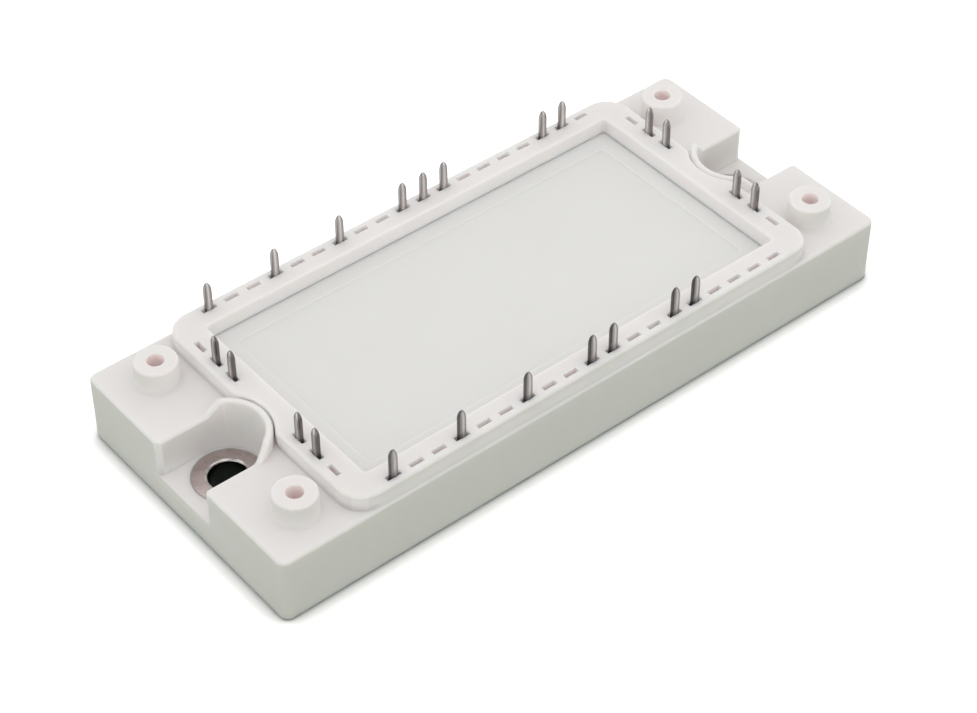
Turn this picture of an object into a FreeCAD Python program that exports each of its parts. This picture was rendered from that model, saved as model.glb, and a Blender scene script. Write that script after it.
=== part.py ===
import FreeCAD
import Part
import math
import os

# Power semiconductor module: rectifier, brake and inverter in one moulded housing.
# Sizes are millimetres. The origin is under the middle of the base plate, +X runs along
# the length, +Y across the width and +Z up, towards the terminal pins.

# Base plate
PLATE_THICKNESS = 3.0
PLATE_CORNER_R = 2.0
PLATE_EDGE_CHAMFER = 0.3
PLATE_CLEARANCE = 0.1

# Housing, the outside of the body
BODY_LENGTH = 107.5
BODY_WIDTH = 45.5
BODY_CORNER_R = 1.3
BODY_EDGE_CHAMFER = 0.3
SKIRT_WALL = 1.7
PLATE_STANDS_PROUD = 0.3
FLANGE_ABOVE_PLATE = 8.0

# Screw notch at each end, and the bush in its floor
HOLE_FROM_END = 7.25
NOTCH_R = 5.5
NOTCH_FLOOR_THICKNESS = 1.9
NOTCH_MOUTH_ROUND = 0.8
NOTCH_EDGE_CHAMFER = 0.3
SCREW_HOLE_R = 2.75
BUSH_R = 5.05
BUSH_HEIGHT = 2.0
BUSH_LEAD_IN = 0.3
BUSH_CLEARANCE = 0.05

# Collar that stands round the inner end of the notch
COLLAR_WALL = 1.05
COLLAR_BELOW_FRAME_TOP = 0.2
COLLAR_EDGE_CHAMFER = 0.3
COLLAR_RAMP_START = 0.9
COLLAR_RAMP_ANGLE = 48.0
COLLAR_RAMP_ROUND = 1.0
COLLAR_GROOVE = 0.25

# Raised frame
FRAME_RISE = 2.6
FLANGE_LENGTH = 12.3
SIDE_LEDGE = 0.4
FRAME_CORNER_R = 4.0
FRAME_EDGE_CHAMFER = 0.3
FRAME_HOLLOW_CORNER_R = 2.0
FRAME_SIDE_WALL = 4.15
FRAME_END_WALL = 4.7

# Terminal slots and pins
PIN_PITCH = 3.81
SIDE_ROW_FROM_EDGE = 1.395
END_ROW_FROM_EDGE = 1.8
END_SLOTS_EACH_WAY = 4
SLOT_LENGTH = 2.3
SLOT_DEPTH = 1.6
SLOT_END_MARGIN = 2.5
SLOT_TO_HOLLOW = 0.6
PIN_WIDTH = 1.15
PIN_THICKNESS = 0.7
PIN_CLEARANCE = 0.05
PIN_ABOVE_FRAME = 4.7
PIN_TIP_LENGTH = 1.5
PIN_TIP_WIDTH = 0.4
PIN_TIP_THICKNESS = 0.3
PIN_NECK_LENGTH = 0.7
PIN_NECK_WIDTH = 0.95
PIN_BEND_CHAMFER = 0.25
FOOT_ON_SHELF = 1.6

# Board posts on the flanges
POST_SPACING_Y = 32.0
POST_RISE = 3.6
POST_R = 3.15
POST_EDGE_CHAMFER = 0.2
PILOT_HOLE_R = 1.23
PILOT_HOLE_DEPTH = 8.0

# Hollow of the housing: recess for the lid, lid ledge, bonding shelf
RECESS_DEPTH = 2.6
RECESS_CORNER_R = 0.6
RECESS_EDGE_CHAMFER = 0.2
LID_LEDGE = 1.0
SHELF_WIDTH = 2.2
SHELF_ABOVE_PLATE = 2.6
HOLLOW_CORNER_R = 1.5

# Ribbed cores under the flanges
CORE_ROOF = 2.2
CORE_WALL = 2.2
CORE_NOTCH_WALL = 1.8
CORE_ROW_WALL = 2.0
CORE_RIB = 1.2
CORE_BOSS_WALL = 1.4

# Lid
LID_THICKNESS = 2.0
LID_CLEARANCE = 0.05
LID_BORDER = 3.05
LID_PANEL_STEP = 0.15
LID_PANEL_CORNER_R = 0.8
LID_RIB_DEPTH = 1.0
LID_RIB_WALL = 1.0

# Seal bead between the housing and the base plate
SEAL_FROM_HOLLOW = 2.0
SEAL_WIDTH = 1.5
SEAL_HEIGHT = 0.5

# Substrates, chips and thermistor
SUBSTRATE_MARGIN = 1.0
SUBSTRATE_GAP = 1.5
SOLDER_THICKNESS = 0.15
COPPER_THICKNESS = 0.3
CERAMIC_THICKNESS = 0.38
COPPER_MARGIN = 0.6
TRACK_GAP = 0.8
STRIP_WIDTH = 2.6
CHIP_THICKNESS = 0.25
LANDING_STRIP = 1.4
IGBT_SIZE = 4.8
FREEWHEEL_DEPTH = 2.8
RECTIFIER_SIZE = 4.6
THERMISTOR_LENGTH = 2.4
THERMISTOR_WIDTH = 1.2
THERMISTOR_HEIGHT = 0.8
THERMISTOR_PAD = 2.6

# Bond wires and gel
WIRE = 0.3
WIRE_FOOT = 0.7
WIRE_FROM_EDGE = 0.6
WIRE_LOOP = 0.6
GEL_ABOVE_SHELF = 2.0

# Spare depth by which a cut or a joined piece runs past the face that it meets
PAST = 1.0
TINY = 1e-4

# Points of an edge that are looked at to tell what it follows
RIM_POINTS = 5

# Heights
PLATE_TOP_Z = PLATE_THICKNESS
BODY_LOW_Z = PLATE_STANDS_PROUD
NOTCH_FLOOR_Z = PLATE_TOP_Z + NOTCH_FLOOR_THICKNESS
FLANGE_Z = PLATE_TOP_Z + FLANGE_ABOVE_PLATE
FRAME_Z = FLANGE_Z + FRAME_RISE
COLLAR_Z = FRAME_Z - COLLAR_BELOW_FRAME_TOP
POST_Z = FLANGE_Z + POST_RISE
PIN_TIP_Z = FRAME_Z + PIN_ABOVE_FRAME
LID_TOP_Z = FRAME_Z - RECESS_DEPTH
LEDGE_Z = LID_TOP_Z - LID_THICKNESS
SHELF_Z = PLATE_TOP_Z + SHELF_ABOVE_PLATE
SLOT_FLOOR_Z = FRAME_Z - SLOT_DEPTH
GEL_Z = SHELF_Z + GEL_ABOVE_SHELF
BACKING_Z = PLATE_TOP_Z + SOLDER_THICKNESS
CERAMIC_Z = BACKING_Z + COPPER_THICKNESS
TRACK_Z = CERAMIC_Z + CERAMIC_THICKNESS
CHIP_Z = TRACK_Z + COPPER_THICKNESS
CHIP_TOP_Z = CHIP_Z + CHIP_THICKNESS

# Plan sizes that follow from the driving ones
HOLE_X = BODY_LENGTH / 2 - HOLE_FROM_END
HOLLOW_ARC_R = NOTCH_R + COLLAR_WALL + COLLAR_GROOVE
POCKET_LENGTH = BODY_LENGTH - 2 * SKIRT_WALL
POCKET_WIDTH = BODY_WIDTH - 2 * SKIRT_WALL
FRAME_LENGTH = BODY_LENGTH - 2 * FLANGE_LENGTH
FRAME_WIDTH = BODY_WIDTH - 2 * SIDE_LEDGE
SIDE_ROW_Y = FRAME_WIDTH / 2 - SIDE_ROW_FROM_EDGE
END_ROW_X = FRAME_LENGTH / 2 - END_ROW_FROM_EDGE
SLOT_WIDTH = PIN_THICKNESS + 2 * PIN_CLEARANCE
RECESS_LENGTH = FRAME_LENGTH - 2 * FRAME_END_WALL
RECESS_WIDTH = FRAME_WIDTH - 2 * FRAME_SIDE_WALL
UPPER_LENGTH = RECESS_LENGTH - 2 * LID_LEDGE
UPPER_WIDTH = RECESS_WIDTH - 2 * LID_LEDGE
LOWER_LENGTH = UPPER_LENGTH - 2 * SHELF_WIDTH
LOWER_WIDTH = UPPER_WIDTH - 2 * SHELF_WIDTH
SUBSTRATE_LENGTH = (LOWER_LENGTH - SUBSTRATE_GAP) / 2 - SUBSTRATE_MARGIN
SUBSTRATE_WIDTH = LOWER_WIDTH - 2 * SUBSTRATE_MARGIN
SUBSTRATE_X = (SUBSTRATE_GAP + SUBSTRATE_LENGTH) / 2
COPPER_LENGTH = SUBSTRATE_LENGTH - 2 * COPPER_MARGIN
COPPER_WIDTH = SUBSTRATE_WIDTH - 2 * COPPER_MARGIN
ISLAND_DEPTH = (COPPER_WIDTH - STRIP_WIDTH - 2 * TRACK_GAP) / 2

# Pins in steps of the pitch from the middle of each row
NEAR_SIDE_PINS = (-9, -6, -3, 0, 1, 4, 5)
FAR_SIDE_PINS = (8, 7, 2, 1, 0, -3, -6, -9)
END_PINS = (-3, -2, 2, 3)

# Columns of islands on the rectifier substrate and on the inverter substrate
RECTIFIER_COLUMNS = 4
INVERTER_COLUMNS = 3


def vec(x, y, z):
    return FreeCAD.Vector(x, y, z)


def block(x_low, x_high, y_low, y_high, z_low, z_high):
    """Block between two opposite corners."""
    corner = vec(x_low, y_low, z_low)
    return Part.makeBox(x_high - x_low, y_high - y_low, z_high - z_low, corner)


def slab(x_mid, y_mid, length, width, z_low, z_high):
    """Block centred on a point of the plan."""
    return block(x_mid - length / 2, x_mid + length / 2,
                 y_mid - width / 2, y_mid + width / 2, z_low, z_high)


def peg(x_mid, y_mid, radius, z_low, z_high):
    """Upright cylinder."""
    return Part.makeCylinder(radius, z_high - z_low, vec(x_mid, y_mid, z_low))


def is_upright(edge):
    ends = edge.Vertexes
    return len(ends) == 2 and abs(ends[0].X - ends[1].X) < TINY and abs(ends[0].Y - ends[1].Y) < TINY


def edges_at(shape, z):
    """Edges that lie at one height."""
    return [edge for edge in shape.Edges
            if abs(edge.BoundBox.ZMin - z) < TINY and abs(edge.BoundBox.ZMax - z) < TINY]


def rounded_slab(length, width, z_low, z_high, corner_r):
    """Slab on the origin with rounded upright corners."""
    plain = slab(0, 0, length, width, z_low, z_high)
    return plain.makeFillet(corner_r, [edge for edge in plain.Edges if is_upright(edge)])


def outline(corners):
    """Closed wire through (point, radius) corners, with a tangent arc wherever the radius isn't 0."""
    arrivals = []
    departures = []
    edges = []
    for i, (point, radius) in enumerate(corners):
        if radius == 0:
            arrivals.append(point)
            departures.append(point)
            continue
        back = (corners[i - 1][0] - point).normalize()
        onward = (corners[(i + 1) % len(corners)][0] - point).normalize()
        half_angle = back.getAngle(onward) / 2
        reach = radius / math.tan(half_angle)
        inward = (back + onward).normalize()
        middle = point + inward * (radius / math.sin(half_angle) - radius)
        arrivals.append(point + back * reach)
        departures.append(point + onward * reach)
        edges.append(Part.Arc(arrivals[-1], middle, departures[-1]).toShape())
    for i, start in enumerate(departures):
        end = arrivals[(i + 1) % len(corners)]
        if start.distanceToPoint(end) > TINY:
            edges.append(Part.makeLine(start, end))
    return Part.Wire(Part.__sortEdges__(edges))


def prism(corners, sweep):
    """Solid made by pushing an outline along a vector."""
    return Part.Face(outline(corners)).extrude(sweep)


def turned(corners, x_mid, y_mid, angle=360):
    """Solid made by turning an outline of (radius, height) corners about an upright axis."""
    raised = [(vec(x_mid + r, y_mid, z), bend) for (r, z), bend in corners]
    return Part.Face(outline(raised)).revolve(vec(x_mid, y_mid, 0), vec(0, 0, 1), angle)


def side_slots():
    """Slot centres along one long side, counted out from the middle."""
    reach = FRAME_LENGTH / 2 - SLOT_END_MARGIN - SLOT_LENGTH / 2
    steps = int(reach / PIN_PITCH)
    return [step * PIN_PITCH for step in range(-steps, steps + 1)]


def end_slots():
    """Slot centres along one short side, without those that the hollow for the collar takes."""
    centres = []
    for step in range(-END_SLOTS_EACH_WAY, END_SLOTS_EACH_WAY + 1):
        y = step * PIN_PITCH
        near_x = HOLE_X - END_ROW_X - SLOT_WIDTH / 2
        near_y = max(abs(y) - SLOT_LENGTH / 2, 0)
        if math.hypot(near_x, near_y) > HOLLOW_ARC_R + SLOT_TO_HOLLOW:
            centres.append(y)
    return centres


def pin_places():
    """(x, y, turn, foot length) of every pin, going round the frame from the near left."""
    side_foot = SIDE_ROW_Y - UPPER_WIDTH / 2 + FOOT_ON_SHELF
    end_foot = END_ROW_X - UPPER_LENGTH / 2 + FOOT_ON_SHELF
    reach = max(side_slots()) + TINY
    places = []
    for step in NEAR_SIDE_PINS:
        places.append((step * PIN_PITCH, -SIDE_ROW_Y, 0, side_foot))
    for step in END_PINS:
        places.append((END_ROW_X, step * PIN_PITCH, 90, end_foot))
    for step in FAR_SIDE_PINS:
        places.append((step * PIN_PITCH, SIDE_ROW_Y, 180, side_foot))
    for step in END_PINS:
        places.append((-END_ROW_X, -step * PIN_PITCH, -90, end_foot))
    return [place for place in places if abs(place[0]) < reach or abs(place[2]) == 90]


def put(shape, x, y, turn):
    """Copy of a shape drawn at the origin, turned about Z and moved to its place."""
    moved = shape.copy()
    moved.rotate(vec(0, 0, 0), vec(0, 0, 1), turn)
    moved.translate(vec(x, y, 0))
    return moved


def rim_edges(shape, distance, above):
    """Edges that pass over a height and keep one distance from the middle line of a notch."""
    rim = []
    for edge in shape.Edges:
        if is_upright(edge) or edge.BoundBox.ZMax < above or edge.BoundBox.ZMin < FLANGE_Z - PAST:
            continue
        spots = [math.hypot(max(HOLE_X - abs(point.x), 0), point.y) for point in edge.discretize(RIM_POINTS)]
        if max(abs(spot - distance) for spot in spots) < TINY:
            rim.append(edge)
    return rim


def flange_block():
    """Outer body up to the flanges, with the two screw notches."""
    body = rounded_slab(BODY_LENGTH, BODY_WIDTH, BODY_LOW_Z, FLANGE_Z, BODY_CORNER_R)
    body = body.makeChamfer(BODY_EDGE_CHAMFER, edges_at(body, FLANGE_Z))
    past_end = BODY_LENGTH / 2 + PAST
    for side in (-1, 1):
        reach = sorted((side * HOLE_X, side * past_end))
        mouth = block(reach[0], reach[1], -NOTCH_R, NOTCH_R, NOTCH_FLOOR_Z, FLANGE_Z + PAST)
        round_end = peg(side * HOLE_X, 0, NOTCH_R, NOTCH_FLOOR_Z, FLANGE_Z + PAST)
        body = body.cut(mouth.fuse(round_end).removeSplitter())
    lips = [edge for edge in body.Edges if is_upright(edge)
            and abs(abs(edge.Vertexes[0].Y) - NOTCH_R) < TINY
            and abs(abs(edge.Vertexes[0].X) - BODY_LENGTH / 2) < TINY]
    return body.makeFillet(NOTCH_MOUTH_ROUND, lips)


def raised_frame():
    """Raised block with a hollow in each end that goes round the collar, and the lid's recess."""
    low = FLANGE_Z - PAST
    frame = rounded_slab(FRAME_LENGTH, FRAME_WIDTH, low, FRAME_Z, FRAME_CORNER_R)
    for side in (-1, 1):
        frame = frame.cut(peg(side * HOLE_X, 0, HOLLOW_ARC_R, low - PAST, FRAME_Z + PAST))
    points = [edge for edge in frame.Edges if is_upright(edge)
              and abs(abs(edge.Vertexes[0].X) - FRAME_LENGTH / 2) < TINY
              and abs(edge.Vertexes[0].Y) < HOLLOW_ARC_R]
    if points:
        frame = frame.makeFillet(FRAME_HOLLOW_CORNER_R, points)
    return frame.makeChamfer(FRAME_EDGE_CHAMFER, edges_at(frame, FRAME_Z))


def collar(side):
    """Wall round the inner end of a notch, ramped down to the flange at both ends."""
    outer_r = NOTCH_R + COLLAR_WALL
    low = FLANGE_Z - PAST
    wall = turned([((NOTCH_R, low), 0), ((outer_r, low), 0),
                   ((outer_r, COLLAR_Z), 0), ((NOTCH_R, COLLAR_Z), 0)], 0, 0)
    slope = math.radians(COLLAR_RAMP_ANGLE)
    sink = COLLAR_RAMP_ROUND * (1 - math.cos(slope / 3))
    foot_z = FLANGE_Z - sink
    ramp_top = COLLAR_RAMP_START + (COLLAR_Z - foot_z) / math.tan(slope)
    start = COLLAR_RAMP_START - COLLAR_RAMP_ROUND * math.tan(slope / 2) - TINY
    kept = prism([(vec(start, -outer_r - PAST, low - PAST), 0),
                  (vec(start, -outer_r - PAST, foot_z), 0),
                  (vec(COLLAR_RAMP_START, -outer_r - PAST, foot_z), COLLAR_RAMP_ROUND),
                  (vec(ramp_top, -outer_r - PAST, COLLAR_Z), COLLAR_RAMP_ROUND),
                  (vec(outer_r + PAST, -outer_r - PAST, COLLAR_Z), 0),
                  (vec(outer_r + PAST, -outer_r - PAST, low - PAST), 0)],
                 vec(0, 2 * (outer_r + PAST), 0))
    ramped = wall.common(kept)
    turn = 0 if side < 0 else 180
    return put(ramped, side * HOLE_X, 0, turn)


def post(x, y):
    """Round board post, without its hole."""
    return turned([((0, FLANGE_Z - PAST), 0), ((POST_R, FLANGE_Z - PAST), 0),
                   ((POST_R, POST_Z - POST_EDGE_CHAMFER), 0),
                   ((POST_R - POST_EDGE_CHAMFER, POST_Z), 0), ((0, POST_Z), 0)], x, y)


def flange_core(side_x, side_y):
    """Hollow cells under one corner of the flange, left between a boss and two crossed ribs."""
    inner_x = END_ROW_X + CORE_ROW_WALL
    outer_x = BODY_LENGTH / 2 - CORE_WALL
    inner_y = NOTCH_R + CORE_NOTCH_WALL
    outer_y = BODY_WIDTH / 2 - CORE_WALL
    roof = FLANGE_Z - CORE_ROOF
    post_y = POST_SPACING_Y / 2
    cells = block(inner_x, outer_x, inner_y, outer_y, BODY_LOW_Z, roof)
    along = block(inner_x - PAST, outer_x + PAST, post_y - CORE_RIB / 2, post_y + CORE_RIB / 2,
                  BODY_LOW_Z - PAST, roof + PAST)
    across = block(HOLE_X - CORE_RIB / 2, HOLE_X + CORE_RIB / 2, inner_y - PAST, outer_y + PAST,
                   BODY_LOW_Z - PAST, roof + PAST)
    boss = peg(HOLE_X, post_y, PILOT_HOLE_R + CORE_BOSS_WALL, BODY_LOW_Z - PAST, roof + PAST)
    cells = cells.cut([along, across, boss])
    if side_x < 0:
        cells = cells.mirror(vec(0, 0, 0), vec(1, 0, 0))
    if side_y < 0:
        cells = cells.mirror(vec(0, 0, 0), vec(0, 1, 0))
    return cells


def slot_cuts():
    """Every slot in the top of the frame."""
    top = FRAME_Z + PAST
    cuts = []
    for x in side_slots():
        for side in (-1, 1):
            cuts.append(slab(x, side * SIDE_ROW_Y, SLOT_LENGTH, SLOT_WIDTH, SLOT_FLOOR_Z, top))
    for y in end_slots():
        for side in (-1, 1):
            cuts.append(slab(side * END_ROW_X, y, SLOT_WIDTH, SLOT_LENGTH, SLOT_FLOOR_Z, top))
    return cuts


def pin_channel(x, y, turn, foot):
    """Passage for one pin, from its slot down to the shelf and inwards to the hollow."""
    half_width = PIN_WIDTH / 2 + PIN_CLEARANCE
    half_thick = PIN_THICKNESS / 2 + PIN_CLEARANCE
    shaft = block(-half_width, half_width, -half_thick, half_thick, SHELF_Z, SLOT_FLOOR_Z + PAST)
    ceiling = SHELF_Z + PIN_THICKNESS + PIN_BEND_CHAMFER
    passage = block(-half_width, half_width, -half_thick, foot + PIN_CLEARANCE, SHELF_Z, ceiling)
    return put(shaft.fuse(passage), x, y, turn)


def seal_ring(z_low, z_high):
    """Rectangular ring round the hollow, for the seal bead and for its groove."""
    inner_length = LOWER_LENGTH + 2 * SEAL_FROM_HOLLOW
    inner_width = LOWER_WIDTH + 2 * SEAL_FROM_HOLLOW
    outer = rounded_slab(inner_length + 2 * SEAL_WIDTH, inner_width + 2 * SEAL_WIDTH,
                         z_low, z_high, HOLLOW_CORNER_R + SEAL_WIDTH)
    return outer.cut(rounded_slab(inner_length, inner_width, z_low, z_high, HOLLOW_CORNER_R))


def housing():
    """Moulded shell: body, frame, collars and posts as one piece, with every hollow cut."""
    posts = [(side_x * HOLE_X, side_y * POST_SPACING_Y / 2) for side_x in (-1, 1) for side_y in (-1, 1)]
    raised = [raised_frame(), collar(-1), collar(1)] + [post(x, y) for x, y in posts]
    shell = flange_block().fuse(raised).removeSplitter()
    shell = shell.makeChamfer(NOTCH_EDGE_CHAMFER, rim_edges(shell, NOTCH_R, FLANGE_Z - TINY))
    shell = shell.makeChamfer(COLLAR_EDGE_CHAMFER, rim_edges(shell, NOTCH_R + COLLAR_WALL, FLANGE_Z + TINY))
    recess = rounded_slab(RECESS_LENGTH, RECESS_WIDTH, LEDGE_Z, FRAME_Z + PAST, RECESS_CORNER_R)
    shell = shell.cut(recess)
    brim = [edge for edge in edges_at(shell, FRAME_Z)
            if abs(edge.CenterOfMass.x) < RECESS_LENGTH / 2 + TINY
            and abs(edge.CenterOfMass.y) < RECESS_WIDTH / 2 + TINY]
    shell = shell.makeChamfer(RECESS_EDGE_CHAMFER, brim)
    cuts = [rounded_slab(POCKET_LENGTH, POCKET_WIDTH, BODY_LOW_Z - PAST, PLATE_TOP_Z, PLATE_CORNER_R),
            rounded_slab(UPPER_LENGTH, UPPER_WIDTH, SHELF_Z, LEDGE_Z + PAST, HOLLOW_CORNER_R),
            rounded_slab(LOWER_LENGTH, LOWER_WIDTH, PLATE_TOP_Z - PAST, SHELF_Z + PAST, HOLLOW_CORNER_R),
            seal_ring(PLATE_TOP_Z, PLATE_TOP_Z + SEAL_HEIGHT)]
    for side in (-1, 1):
        cuts.append(peg(side * HOLE_X, 0, BUSH_R + BUSH_CLEARANCE, BODY_LOW_Z, NOTCH_FLOOR_Z + PAST))
        cuts += [flange_core(side, side_y) for side_y in (-1, 1)]
    cuts += [peg(x, y, PILOT_HOLE_R, POST_Z - PILOT_HOLE_DEPTH, POST_Z + PAST) for x, y in posts]
    cuts += slot_cuts()
    cuts += [pin_channel(*place) for place in pin_places()]
    return shell.cut(cuts).removeSplitter()


def base_plate():
    """Plate with a chamfered lower edge and two screw holes."""
    length = POCKET_LENGTH - 2 * PLATE_CLEARANCE
    width = POCKET_WIDTH - 2 * PLATE_CLEARANCE
    plate = rounded_slab(length, width, 0, PLATE_TOP_Z, PLATE_CORNER_R)
    plate = plate.makeChamfer(PLATE_EDGE_CHAMFER, edges_at(plate, 0))
    for side in (-1, 1):
        plate = plate.cut(peg(side * HOLE_X, 0, SCREW_HOLE_R, -PAST, PLATE_TOP_Z + PAST))
    return plate


def screw_bush(side):
    """Turned ring with a chamfered lead-in, held in the floor of the notch and seated on the plate."""
    top = PLATE_TOP_Z + BUSH_HEIGHT
    return turned([((SCREW_HOLE_R, PLATE_TOP_Z), 0), ((BUSH_R, PLATE_TOP_Z), 0), ((BUSH_R, top), 0),
                   ((SCREW_HOLE_R + BUSH_LEAD_IN, top), 0), ((SCREW_HOLE_R, top - BUSH_LEAD_IN), 0)],
                  side * HOLE_X, 0)


def lid():
    """Flat lid with a sunken panel, and a rib underneath that centres it in the hollow."""
    length = RECESS_LENGTH - 2 * LID_CLEARANCE
    width = RECESS_WIDTH - 2 * LID_CLEARANCE
    plate = rounded_slab(length, width, LEDGE_Z, LID_TOP_Z, RECESS_CORNER_R)
    panel = rounded_slab(RECESS_LENGTH - 2 * LID_BORDER, RECESS_WIDTH - 2 * LID_BORDER,
                         LID_TOP_Z - LID_PANEL_STEP, LID_TOP_Z + PAST, LID_PANEL_CORNER_R)
    rib_low = LEDGE_Z - LID_RIB_DEPTH
    rib_length = UPPER_LENGTH - 2 * LID_CLEARANCE
    rib_width = UPPER_WIDTH - 2 * LID_CLEARANCE
    rib = rounded_slab(rib_length, rib_width, rib_low, LEDGE_Z, HOLLOW_CORNER_R)
    inside = slab(0, 0, rib_length - 2 * LID_RIB_WALL, rib_width - 2 * LID_RIB_WALL, rib_low, LEDGE_Z)
    return plate.cut(panel).fuse(rib.cut(inside)).removeSplitter()


def terminal_pin(foot):
    """Blade with a bullet tip, bent at its lower end into the foot that the wires are bonded to."""
    half_width = PIN_WIDTH / 2
    half_thick = PIN_THICKNESS / 2
    shoulder = PIN_TIP_Z - PIN_TIP_LENGTH
    foot_z = SHELF_Z + PIN_THICKNESS
    heel = PIN_BEND_CHAMFER + PIN_THICKNESS * (2 - math.sqrt(2))
    front = prism([(vec(-half_width, -PAST, SHELF_Z), 0), (vec(half_width, -PAST, SHELF_Z), 0),
                   (vec(half_width, -PAST, shoulder), 0),
                   (vec(PIN_NECK_WIDTH / 2, -PAST, shoulder + PIN_NECK_LENGTH), 0),
                   (vec(PIN_TIP_WIDTH / 2, -PAST, PIN_TIP_Z), 0),
                   (vec(-PIN_TIP_WIDTH / 2, -PAST, PIN_TIP_Z), 0),
                   (vec(-PIN_NECK_WIDTH / 2, -PAST, shoulder + PIN_NECK_LENGTH), 0),
                   (vec(-half_width, -PAST, shoulder), 0)],
                  vec(0, foot + 2 * PAST, 0))
    profile = prism([(vec(-half_width, -half_thick, SHELF_Z + heel), 0),
                     (vec(-half_width, heel - half_thick, SHELF_Z), 0),
                     (vec(-half_width, foot, SHELF_Z), 0),
                     (vec(-half_width, foot, foot_z), 0),
                     (vec(-half_width, half_thick + PIN_BEND_CHAMFER, foot_z), 0),
                     (vec(-half_width, half_thick, foot_z + PIN_BEND_CHAMFER), 0),
                     (vec(-half_width, half_thick, shoulder), 0),
                     (vec(-half_width, PIN_TIP_THICKNESS / 2, PIN_TIP_Z), 0),
                     (vec(-half_width, -PIN_TIP_THICKNESS / 2, PIN_TIP_Z), 0),
                     (vec(-half_width, -half_thick, shoulder), 0)],
                    vec(PIN_WIDTH, 0, 0))
    return front.common(profile)


def chip_area(columns):
    """(middle, length) of the copper that carries chips: the rectifier gives one end to the thermistor."""
    taken = 0 if columns == INVERTER_COLUMNS else THERMISTOR_PAD + TRACK_GAP
    return taken / 2, COPPER_LENGTH - taken


def column_centres(columns):
    middle, length = chip_area(columns)
    step = (length + TRACK_GAP) / columns
    return [middle + (column - (columns - 1) / 2) * step for column in range(columns)]


def islands(columns):
    """(x, y, length, width) of each copper island, round the middle of its substrate."""
    middle, area = chip_area(columns)
    upper, lower = row_centres()
    length = (area - (columns - 1) * TRACK_GAP) / columns
    areas = [(middle, upper, area, ISLAND_DEPTH),
             (middle, -(COPPER_WIDTH - STRIP_WIDTH) / 2, area, STRIP_WIDTH)]
    for x in column_centres(columns):
        areas.append((x, lower, length, ISLAND_DEPTH))
    if columns != INVERTER_COLUMNS:
        pad_width = (COPPER_WIDTH - TRACK_GAP) / 2
        for side in (-1, 1):
            areas.append((-(COPPER_LENGTH - THERMISTOR_PAD) / 2, side * (pad_width + TRACK_GAP) / 2,
                          THERMISTOR_PAD, pad_width))
    return areas


def row_centres():
    """Middles of the two rows of islands that carry chips, upper row first."""
    upper = COPPER_WIDTH / 2 - ISLAND_DEPTH / 2
    return [upper, upper - ISLAND_DEPTH - TRACK_GAP]


def substrate_tracks(x_mid, columns):
    plates = [slab(x_mid + x, y, length, width, TRACK_Z, CHIP_Z)
              for x, y, length, width in islands(columns)]
    return Part.Compound(plates)


def chip_places():
    """Plan centres of the transistor chips, their diodes and the rectifier diodes."""
    spare = (ISLAND_DEPTH - LANDING_STRIP - IGBT_SIZE - FREEWHEEL_DEPTH) / 3
    transistors = []
    diodes = []
    rectifiers = []
    for y in row_centres():
        top = y + ISLAND_DEPTH / 2 - LANDING_STRIP
        for x in column_centres(INVERTER_COLUMNS):
            transistors.append((SUBSTRATE_X + x, top - spare - IGBT_SIZE / 2))
            diodes.append((SUBSTRATE_X + x, top - 2 * spare - IGBT_SIZE - FREEWHEEL_DEPTH / 2))
        for x in column_centres(RECTIFIER_COLUMNS)[:-1]:
            rectifiers.append((-SUBSTRATE_X + x, y))
    brake_x = -SUBSTRATE_X + column_centres(RECTIFIER_COLUMNS)[-1]
    upper, lower = row_centres()
    transistors.append((brake_x, lower))
    diodes.append((brake_x, upper))
    return transistors, diodes, rectifiers


def thermistor():
    """Block that bridges the gap between its two pads."""
    x = -SUBSTRATE_X - (COPPER_LENGTH - THERMISTOR_PAD) / 2
    return slab(x, 0, THERMISTOR_WIDTH, THERMISTOR_LENGTH, CHIP_Z, CHIP_Z + THERMISTOR_HEIGHT)


def wire(x, y, turn, landings):
    """Wire along +Y through (distance, height) landings, with a flat foot at each and a crest between."""
    under = []
    for i, (s, z) in enumerate(landings):
        if i > 0:
            last_s, last_z = landings[i - 1]
            under.append(vec(0, (last_s + s) / 2, max(z, last_z) + WIRE_LOOP))
        under.append(vec(0, s - WIRE_FOOT / 2, z))
        under.append(vec(0, s + WIRE_FOOT / 2, z))
    over = [point + vec(0, 0, WIRE) for point in under[:1] + under[2:-2] + under[-1:]]
    strand = prism([(point, 0) for point in under + over[::-1]], vec(WIRE, 0, 0))
    strand.translate(vec(-WIRE / 2, 0, 0))
    return put(strand, x, y, turn)


def pin_wire(x, y, turn, foot):
    """Wire from a pin's foot to the copper of the nearer substrate."""
    inset = SUBSTRATE_MARGIN + COPPER_MARGIN + WIRE_FROM_EDGE
    nearest = SUBSTRATE_GAP / 2 + COPPER_MARGIN + WIRE_FROM_EDGE
    start = foot - WIRE_FOOT
    if abs(turn) == 90:
        return wire(x, y, turn, [(start, SHELF_Z + PIN_THICKNESS),
                                 (END_ROW_X - LOWER_LENGTH / 2 + inset, CHIP_Z)])
    side = -1 if x < 0 else 1
    landing_x = side * min(max(abs(x), nearest), LOWER_LENGTH / 2 - inset)
    landing = SIDE_ROW_Y - LOWER_WIDTH / 2 + inset
    shift = landing_x - x
    lean = math.degrees(math.atan2(shift, landing - start))
    begin_y = start if y < 0 else -start
    bend = -lean if y < 0 else 180 + lean
    run = math.hypot(shift, landing - start)
    return wire(x, y + begin_y, bend, [(0, SHELF_Z + PIN_THICKNESS), (run, CHIP_Z)])


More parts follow.
